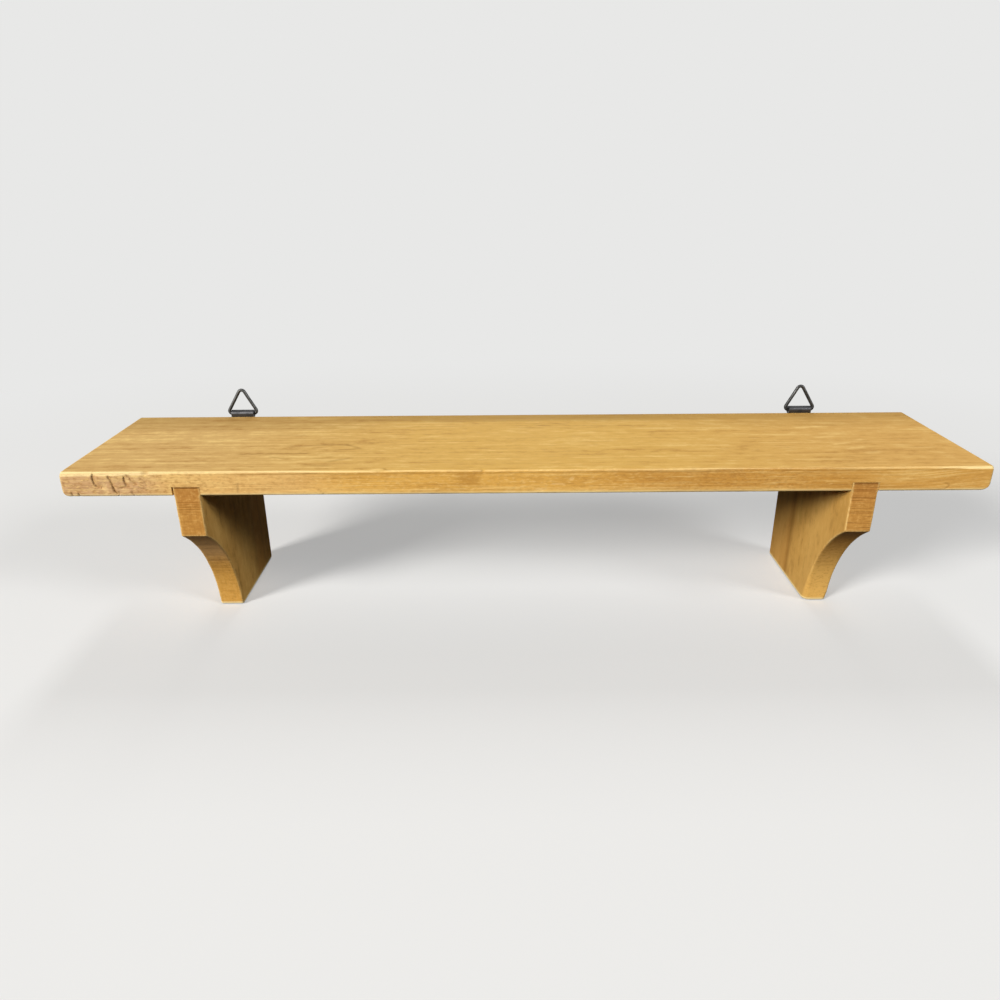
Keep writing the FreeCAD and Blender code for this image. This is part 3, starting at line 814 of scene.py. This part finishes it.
def grain_dashes(graph, grain):
    """Short pale and dark dashes, where the fibres and a shorter grain agree."""
    pale = graph.step(0.5, 0.62, grain["fibre"]) * graph.step(0.48, 0.6, grain["dash"])
    dark_fibre = 1.0 - graph.step(0.38, 0.5, grain["fibre"])
    return pale, dark_fibre * (1.0 - graph.step(0.4, 0.52, grain["dash"]))


def strokes(graph, x, behind, marks):
    """Short ragged marks along the grain, from 0 to 1."""
    ragged = behind + (graph.noise(x / 4.0, behind / 3.0, 6.6) - 0.5) * 3.0
    total = 0.0
    for start_x, start_behind, end_x, end_behind, width, strength in marks:
        tilt = (end_behind - start_behind) / (end_x - start_x)
        centre = (x - start_x) * tilt + start_behind
        mark = graph.bell(ragged - centre, 0.0, width) * graph.within(start_x, end_x, 2.0, x)
        total = mark * strength + total
    return graph.math("MINIMUM", total, 1.0)


def top_marks(graph, colour, x, behind, on_top):
    """The dark figure and the pale flecks of the top."""
    dark = strokes(graph, x, behind, DARK_MARKS) * on_top
    pale = strokes(graph, x, behind, PALE_MARKS) * on_top
    return graph.over(colour, (dark * 0.7, tint(144, 102, 46)), (pale * 0.6, tint(252, 216, 140)))


def back_shade_and_grime(graph, colour, x, behind, on_top):
    """Painted shade and grime on the top's back: narrow and dark in the middle, wider, fainter at
    the ends.
    """
    ragged = behind + (graph.noise(x / 30.0, 7.7, 1.5) - 0.5) * 5.0
    depth = BACK - FRONT
    from_left, to_right = graph.step(-130.0, -60.0, x), graph.step(60.0, 120.0, x)
    narrow = graph.step(depth - 18.0, depth - 8.0, ragged)
    narrow = narrow * (0.12 + from_left * 0.42 - to_right * 0.26)
    wide = graph.step(depth - 34.0, depth - 20.0, ragged)
    wide = wide * (0.3 - from_left * 0.24 + to_right * 0.12)
    # One darker colour for both the painted shade and the grime.
    return graph.mix((narrow + wide) * on_top, colour, tint(152, 116, 56))


def year_rings(graph, y, z):
    """Arcs of late wood on the board's ends, about a heart that lies below it."""
    across, up = y - HEART_Y, z - HEART_Z
    distance = graph.math("SQRT", across * across + up * up)
    distance = distance + graph.noise(y / 9.0, z / 9.0, 2.2) * 2.0
    return graph.within(0.6, 0.92, 0.14, graph.math("FRACT", distance / RING_WIDTH))


def end_grain(graph, colour, x, y, z):
    """The board's darker ends, with their year rings."""
    on_end = graph.step(HALF_LENGTH - 1.0, HALF_LENGTH - 0.2, graph.math("ABSOLUTE", x))
    late_wood = year_rings(graph, y, z) * on_end
    return graph.over(colour, (on_end * 0.35, tint(178, 124, 58)),
                      (late_wood * 0.5, tint(132, 84, 36)))


def front_marks(graph, colour, x, down, on_front):
    """One browner patch, and a dark broken line just below the pale front top edge."""
    patch = graph.within(-33.0, -23.0, 3.0, x) * graph.within(1.5, 8.0, 2.0, down) * on_front
    seam = graph.bell(down + graph.noise(x / 9.0, 3.5, 5.5) * 0.8, 1.95, 0.42) * on_front
    left_part = graph.within(-145.0, 100.0, 12.0, x) * 0.42
    right_part = graph.within(125.0, 212.0, 10.0, x) * 0.3
    return graph.over(colour, (patch * 0.42, tint(172, 118, 48)),
                      (seam * (left_part + right_part), tint(140, 92, 36)))


def board_damage_and_highlight(graph, colour, streak):
    """Pale edges of wear and painted highlight, paler chips and dark bottoms of tear-outs."""
    # The pale edge colour stands for wear and a painted highlight.
    wear = graph.painted("wear_and_highlight") * (0.5 + graph.step(0.3, 0.7, streak) * 0.5)
    return graph.over(colour, (wear * 0.78, tint(254, 236, 174)),
                      (graph.painted("fresh") * 0.4, tint(248, 214, 150)),
                      (graph.painted("torn") * 0.6, tint(114, 75, 38)))


def board_wood():
    """Honey-stained softwood grained along the board; wear and a painted highlight pale its edges.
    """
    material = bpy.data.materials.new("board_wood")
    graph = Graph(material)
    x, y, z = graph.places()
    behind, down = y - FRONT, TOP - z
    on_front = 1.0 - graph.step(0.2, 1.4, behind)
    on_top = 1.0 - graph.step(0.6, 2.0, down)
    slant = graph.step(165.0, 215.0, x) * (x - 190.0) * on_front * 0.1
    grain = wood_grain(graph, x, y, z - slant, BOARD_SEED)
    tone = grain_tone(grain, fibre=0.45, streak=0.4, patch=0.5, speck=0.7 - on_front * 0.4)
    base = graph.mix(on_front, top_colour(graph, x), front_colour(graph, x, down))
    contrast = 0.44 + (1.0 - graph.step(-120.0, -20.0, x)) * 0.14 + on_front * 0.1
    colour = shade_wood(graph, base, tone, contrast, tint(160, 108, 48), tint(250, 216, 140))
    colour, pits = front_mottle(graph, colour, x, z, on_front)
    pale_dash, dark_dash = grain_dashes(graph, grain)
    colour = graph.over(colour, (pale_dash * 0.36, tint(248, 214, 138)),
                        (dark_dash * 0.2, tint(164, 114, 52)))
    colour = top_marks(graph, colour, x, behind, on_top)
    colour = back_shade_and_grime(graph, colour, x, behind, on_top)
    colour = end_grain(graph, colour, x, y, z)
    colour = front_marks(graph, colour, x, down, on_front)
    colour = board_damage_and_highlight(graph, colour, grain["streak"])
    roughness = 0.72 + (grain["fibre"] - 0.5) * 0.3 + graph.painted("torn") * 0.2
    height = grain["fibre"] + pale_dash * 0.4 - dark_dash * 0.4 - pits * on_front * 0.4
    finish_wood(graph, colour, roughness, height, BOARD_RELIEF)
    return material


# The brackets' wood.

# What differs between the two brackets. The last row has the height where the cove begins to change
# under the block, and to which colour: painted shade on the right, a paler colour on the left.
BRACKET_SEED = {"left": 9.3, "right": 15.1}
SAW_SEED = {"left": 4.3, "right": 11.9}
BRACKET_CONTRAST = {"left": 0.42, "right": 0.3}
LOW_FRONT = {"left": tint(224, 167, 80), "right": tint(240, 187, 99)}
STREAK_SHARE = {"left": 0.26, "right": 0.64}
BAND_SHARE = {"left": 1.0, "right": 0.3}
UNDER_BLOCK = {"left": (28.0, tint(228, 184, 130)), "right": (44.0, tint(104, 70, 34))}

# The dark streak down each flank, with browner wood behind it.
STREAK_PLACE = BACK - 28.0
STREAK_WIDTH = 2.8

# Height of a saw stroke on the left block.
STROKE_HEIGHT = 1.25

BRACKET_RELIEF = 0.08


def bracket_colour(graph, side, z, sawn, warm):
    """The stain of the flanks, and of the front, which darkens upwards."""
    flank = graph.mix(graph.step(0.35, 0.65, warm), tint(205, 156, 80), tint(215, 167, 90))
    front = graph.over(LOW_FRONT[side], (graph.step(15.0, 55.0, z), tint(196, 141, 69)),
                       (graph.step(72.0, 79.0, z) * 0.5, tint(184, 126, 62)))
    return graph.mix(sawn, flank, front)


def flank_streak(graph, colour, side, y, z, patch):
    """A dark streak down the flank, and browner wood behind it."""
    place = y + graph.noise(z / 30.0, 4.5, BRACKET_SEED[side], 1.0) * 1.6
    streak = graph.bell(place, STREAK_PLACE, STREAK_WIDTH) * (0.7 + patch * 0.4)
    behind = graph.step(STREAK_PLACE - 1.0, STREAK_PLACE + 2.0, y)
    return graph.over(colour, (streak * STREAK_SHARE[side], tint(138, 88, 32)),
                      (behind * 0.35, tint(182, 124, 58)))


def saw_marks(graph, side, x, y, z, sawn):
    """Fine lines across a bracket's block and broader bands down its cove, left by the saw."""
    seed = SAW_SEED[side]
    on_block = graph.step(58.0, 60.0, z) * sawn
    fine = graph.step(0.5, 0.64, graph.noise(x / 26.0, 0.5, z / 0.62 + seed, 1.0)) * on_block
    if side == "left":
        stroke = z / STROKE_HEIGHT + graph.noise(x / 14.0, 1.5, z / 5.0, 1.0) * 0.8
        teeth = graph.within(0.25, 0.6, 0.12, graph.math("FRACT", stroke))
        fine = fine * 0.3 + teeth * graph.within(71.5, 78.5, 1.0, z) * on_block * 0.72
    travel = z * 0.86 - y * 0.5
    on_cove = graph.within(24.0, 55.0, 5.0, z) * sawn
    bands = graph.step(0.5, 0.66, graph.noise(x / 40.0, 2.5, travel / 1.5 - seed, 1.0)) * on_cove
    return fine, bands * BAND_SHARE[side]


def sawn_mottle(graph, colour, mottle, sawn):
    """Small dark and pale spots on the sawn front."""
    dark = (1.0 - graph.step(0.3, 0.52, mottle)) * sawn
    pale = graph.step(0.52, 0.72, mottle) * sawn
    return graph.over(colour, (dark * 0.3, tint(150, 96, 40)), (pale * 0.36, tint(240, 190, 112)))


def block_shade(graph, colour, side, z, sawn):
    """The top of the cove under the block: painted shade darkens the right one, the left one is
    paler.
    """
    lowest, shade = UNDER_BLOCK[side]
    below_sill = 1.0 - graph.step(BLOCK_BOTTOM - 0.4, BLOCK_BOTTOM, z)
    under_block = graph.step(lowest, lowest + 16.0, z) * below_sill
    # On the right this is painted shade under the block.
    return graph.mix(under_block * sawn * 0.5, colour, shade)


def groove_shade(graph, colour, side, x, z):
    """Painted shade on the top of a bracket, close under the ceiling of its groove."""
    ragged = z + graph.noise(x / 1.5, 6.5, BRACKET_SEED[side], 1.0) * 0.5
    shut = graph.step(CEILING - 1.0, CEILING - 0.4, ragged)
    # Painted shade in the joint under the groove's ceiling.
    return graph.mix(shut * 0.6, colour, tint(92, 58, 26))


def bracket_damage_and_highlight(graph, colour, x, y, z):
    """Pale edges of wear and painted highlight, palest at the sole."""
    wear_and_highlight = graph.painted("wear_and_highlight")
    broken = 0.4 + graph.step(0.35, 0.65, graph.noise(x, y, z / 2.5, 1.0)) * 0.6
    # The sole's pale line is wear and a painted highlight.
    sole = wear_and_highlight * (1.0 - graph.step(1.2, 2.0, z))
    return graph.over(colour, (wear_and_highlight * broken * 0.7, tint(246, 210, 136)),
                      (sole * 0.75, tint(255, 232, 174)))


def bracket_wood(side):
    """Browner wood than the board's, with upright grain and saw marks across its front."""
    material = bpy.data.materials.new(f"{side}_bracket_wood")
    graph = Graph(material)
    x, y, z = graph.places()
    sawn = graph.painted("sawn")
    grain = wood_grain(graph, z, y, x, BRACKET_SEED[side])
    tone = grain_tone(grain, fibre=0.45, streak=0.5, patch=0.6, speck=1.0)
    base = bracket_colour(graph, side, z, sawn, grain["warm"])
    contrast = BRACKET_CONTRAST[side] - sawn * 0.2
    colour = shade_wood(graph, base, tone, contrast, tint(132, 84, 34), tint(238, 194, 114))
    colour = flank_streak(graph, colour, side, y, z, grain["patch"])
    mottle = graph.noise(x / 2.2, y / 2.2, z / 1.4, 3.0, 0.65)
    colour = sawn_mottle(graph, colour, mottle, sawn)
    fine, bands = saw_marks(graph, side, x, y, z, sawn)
    colour = graph.over(colour, (fine * 0.42, tint(138, 86, 34)), (bands * 0.3, tint(146, 94, 40)))
    colour = block_shade(graph, colour, side, z, sawn)
    colour = groove_shade(graph, colour, side, x, z)
    colour = bracket_damage_and_highlight(graph, colour, x, y, z)
    roughness = 0.74 + (grain["fibre"] - 0.5) * 0.3
    height = grain["fibre"] * 0.6 - fine * 0.9 - bands * 0.8 + mottle * sawn * 0.4
    finish_wood(graph, colour, roughness, height, BRACKET_RELIEF)
    return material


# The hangers' steel.

PATCH_SIZE, PIT_SIZE = 5.0, 0.5
TARNISH_SHADE = 0.6
STEEL_RELIEF, STEEL_BUMP = 0.03, 0.15

# The piece of a hanger that has each steel, the steel's name, slot, colour and roughness.
STEELS = [
    ("strap", "strap_steel", "hanger_steel", tint(82, 82, 84), 0.42),
    ("ring", "wire_steel", "ring_wire", tint(76, 76, 75), 0.47),
    ("screw", "screw_steel", "screw_steel", tint(112, 110, 106), 0.38),
]


def dull_steel(name, base, rough):
    """Plated steel gone dull, with darker tarnish in patches."""
    material = bpy.data.materials.new(name)
    graph = Graph(material)
    places = graph.places()
    patch = graph.noise(*(place / PATCH_SIZE for place in places), 1.0, 0.5)
    fine = graph.noise(*(place / PIT_SIZE for place in places), 2.0, 0.6)
    tarnish = tuple(TARNISH_SHADE * value for value in base[:3]) + (1.0,)
    colour = graph.mix(graph.step(0.42, 0.68, patch), base, tarnish)
    roughness = rough + (patch - 0.5) * 0.3 + (fine - 0.5) * 0.1
    graph.surface({"Base Color": colour, "Metallic": 1.0, "Roughness": roughness,
                   "Normal": graph.bump(fine, STEEL_RELIEF, STEEL_BUMP)})
    return material


# Floor, light and camera.

BACKDROP = tint(232, 232, 231)
FLOOR_SEEN, FLOOR_BOUNCE = tint(233, 233, 232), tint(34, 34, 34)
SKY_LIGHT = (0.02, 0.02, 0.02, 1.0)

# The floor's half size, and how far it lies below the feet.
FLOOR_HALF = 6.0
FLOOR_DROP = 0.0003

# The floor fades into the backdrop with its distance from a line under the shelf, in millimetres.
# The line reaches FADE_LINE to either side, and the backdrop's share is FADE_LEAST at least.
FADE_LINE = 160.0
FADE_START, FADE_END = 180.0, 640.0
FADE_LEAST = 0.35

# What the lights face, and the key's slight warmth.
AIM = (0.0, 0.0, 0.06)
WARM_WHITE = (1.0, 0.98, 0.95)

# The camera as fitted to the photograph: yaw, pitch and roll in degrees, lens in millimetres.
CAMERA_PLACE = (-0.012223, -0.405482, 0.225429)
CAMERA_TURNS = (-0.095, 22.525, 0.437)
FILM_WIDTH, LENS = 36.0, 28.01


def make_floor():
    """A pale floor that keeps the shadow, fades into the backdrop and throws little light back."""
    half = FLOOR_HALF
    corners = [(-half, -half, 0), (half, -half, 0), (half, half, 0), (-half, half, 0)]
    mesh = bpy.data.meshes.new("floor")
    mesh.from_pydata(corners, [], [(0, 1, 2, 3)])
    floor = bpy.data.objects.new("floor", mesh)
    floor.location.z = -FLOOR_DROP
    bpy.context.scene.collection.objects.link(floor)
    material = bpy.data.materials.new("pale_floor")
    graph = Graph(material)
    x, y, _ = graph.places()
    seen = graph.seen()
    beside = graph.math("MAXIMUM", graph.math("ABSOLUTE", x) - FADE_LINE, 0.0)
    distance = graph.math("SQRT", beside * beside + y * y)
    away = FADE_LEAST + graph.step(FADE_START, FADE_END, distance) * (1.0 - FADE_LEAST)
    colour = graph.mix(seen, FLOOR_BOUNCE, FLOOR_SEEN)
    near = graph.add("ShaderNodeBsdfDiffuse", None, {"Color": colour})
    far = graph.add("ShaderNodeEmission", None, {"Color": BACKDROP})
    blend = graph.add("ShaderNodeMixShader", None, {0: seen * away, 1: near, 2: far})
    graph.add("ShaderNodeOutputMaterial", None, {"Surface": blend})
    mesh.materials.append(material)


def make_world():
    """A dim even sky for the light, and the pale backdrop where it is seen."""
    world = bpy.data.worlds.new("studio")
    bpy.context.scene.world = world
    graph = Graph(world)
    colour = graph.mix(graph.seen(), SKY_LIGHT, BACKDROP)
    sky = graph.add("ShaderNodeBackground", None, {"Color": colour, "Strength": 1.0})
    graph.add("ShaderNodeOutputWorld", None, {"Surface": sky})


def add_softbox(name, place, width, height, power, colour=(1.0, 1.0, 1.0)):
    """A rectangular light that faces the shelf, its power in watts."""
    light = bpy.data.lights.new(name, "AREA")
    light.shape = "RECTANGLE"
    light.size, light.size_y = width, height
    light.energy = power
    light.color = colour
    holder = bpy.data.objects.new(name, light)
    holder.location = place
    holder.rotation_euler = (Vector(AIM) - Vector(place)).to_track_quat("-Z", "Y").to_euler()
    bpy.context.scene.collection.objects.link(holder)


def make_lights():
    """A key on the left, a fill on the right, and two lights behind, one high and one low."""
    add_softbox("key", (-2.845, -2.747, 1.989), 1.15, 1.15, 234.0, WARM_WHITE)
    add_softbox("fill", (1.74, -1.219, 1.377), 0.65, 0.65, 26.4)
    add_softbox("high_back", (0.0, 3.86, 4.66), 1.0, 3.0, 100.0)
    add_softbox("low_back", (0.0, 5.94, 0.8), 1.0, 0.8, 44.0)


def make_camera():
    """The camera, turned by its yaw, its pitch downwards and then its roll."""
    yaw, pitch, roll = (math.radians(angle) for angle in CAMERA_TURNS)
    flat = math.cos(pitch)
    ahead = Vector((math.sin(yaw) * flat, math.cos(yaw) * flat, -math.sin(pitch)))
    level = Vector((math.cos(yaw), -math.sin(yaw), 0.0))
    down = ahead.cross(level)
    right = math.cos(roll) * level + math.sin(roll) * down
    upward = math.sin(roll) * level - math.cos(roll) * down
    data = bpy.data.cameras.new("camera")
    data.sensor_width, data.lens = FILM_WIDTH, LENS
    data.clip_start, data.clip_end = 0.01, 50.0
    camera = bpy.data.objects.new("camera", data)
    turned = Matrix((right, upward, -ahead)).transposed().to_4x4()
    camera.matrix_world = Matrix.Translation(CAMERA_PLACE) @ turned
    bpy.context.scene.collection.objects.link(camera)
    bpy.context.scene.camera = camera


def set_view():
    bpy.context.scene.view_settings.view_transform = "Standard"


# The dressed shelf.


def dress(piece, material):
    piece.data.materials.clear()
    piece.data.materials.append(material)


def build():
    """The wooden pieces in place of the model's, and steel on its hangers."""
    board = make_board()
    dress(board, board_wood())
    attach(board, "shelf")
    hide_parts("shelf_board")
    for side in SIDES:
        bracket = make_bracket(side)
        dress(bracket, bracket_wood(side))
        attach(bracket, "shelf")
        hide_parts(f"{side}_bracket")
    steels = [(part, dull_steel(name, colour, rough), slot)
              for part, name, slot, colour, rough in STEELS]
    for side in SIDES:
        for part, steel, slot in steels:
            dress(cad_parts[f"{side}_hanger_{part}"], steel)


build()
make_floor()
make_world()
make_lights()
make_camera()
set_view()
